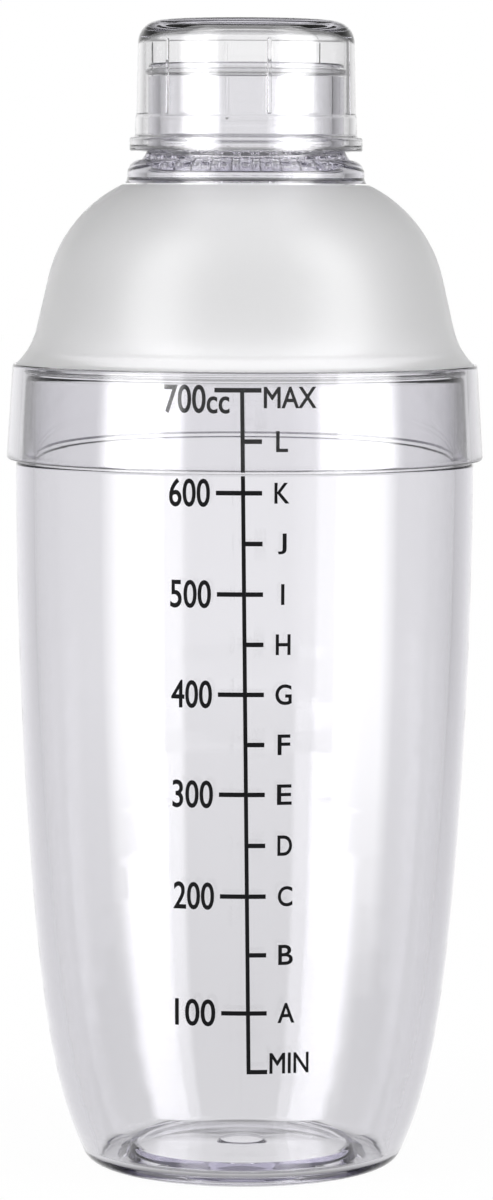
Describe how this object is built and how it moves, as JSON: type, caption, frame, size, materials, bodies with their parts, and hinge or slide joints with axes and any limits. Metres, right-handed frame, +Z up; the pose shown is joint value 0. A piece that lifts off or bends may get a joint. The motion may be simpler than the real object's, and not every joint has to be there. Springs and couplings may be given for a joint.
{
  "type": "cocktail shaker",
  "caption": "Clear plastic cocktail shaker: tapered cup with a printed scale, frosted dome lid with clear skirt, strainer neck and push-on cap.",
  "frame": {"origin": "middle of the foot ring, on the surface that the cup stands on", "axes": "+Z up along the axis of every piece; the printed scale faces -Y"},
  "size_m": [0.0942, 0.0942, 0.2264],
  "materials": {
    "clear_plastic": "polished, see-through",
    "frosted_plastic": "fine frosted outside, polished skirt",
    "silicone": "milky, soft"
  },
  "bodies": {
    "cup": {"cup": "clear_plastic"},
    "lid": {"lid_dome": "frosted_plastic", "rim_gasket": "silicone", "strainer": "clear_plastic", "neck_seal": "silicone"},
    "cap": {"cap": "clear_plastic"}
  },
  "joints": [
    {"name": "lid_lift", "type": "slide", "parent": "cup", "child": "lid", "axis": [0, 0, 1], "range_m": [0, 0.06]},
    {"name": "cap_lift", "type": "slide", "parent": "lid", "child": "cap", "axis": [0, 0, 1], "range_m": [0, 0.04]}
  ]
}
